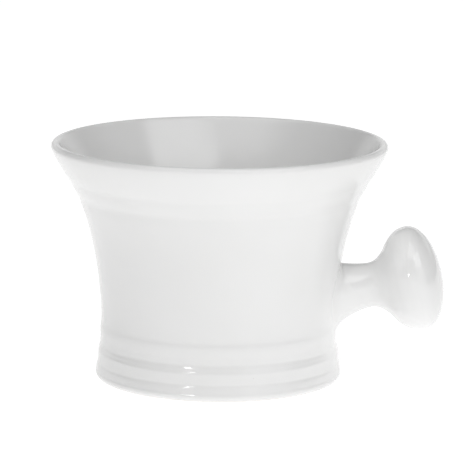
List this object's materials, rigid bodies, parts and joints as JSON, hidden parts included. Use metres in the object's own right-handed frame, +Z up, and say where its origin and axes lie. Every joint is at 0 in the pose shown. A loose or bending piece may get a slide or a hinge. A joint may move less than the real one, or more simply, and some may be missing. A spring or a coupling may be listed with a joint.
{
  "type": "shaving mug",
  "caption": "Flared white glazed ceramic shaving bowl with a ribbed foot and a rounded knob handle on one side, for whipping up lather.",
  "frame": {"origin": "middle of the whole object's footprint box on the plane it stands on, so the bowl's own axis is at x = -0.0097 m", "axes": "+Z up out of the bowl, +X from the bowl towards the knob handle, +Y across; the plane y = 0 halves the object"},
  "size_m": [0.132, 0.1126, 0.08],
  "materials": {
    "body_glaze": "gloss white glaze, bare foot ring",
    "handle_glaze": "gloss white glaze",
    "joint_glaze": "gloss white glaze over fired slip"
  },
  "bodies": {
    "root": {"mug_body": "body_glaze", "knob_handle": "handle_glaze", "slip_joint": "joint_glaze"}
  },
  "joints": []
}
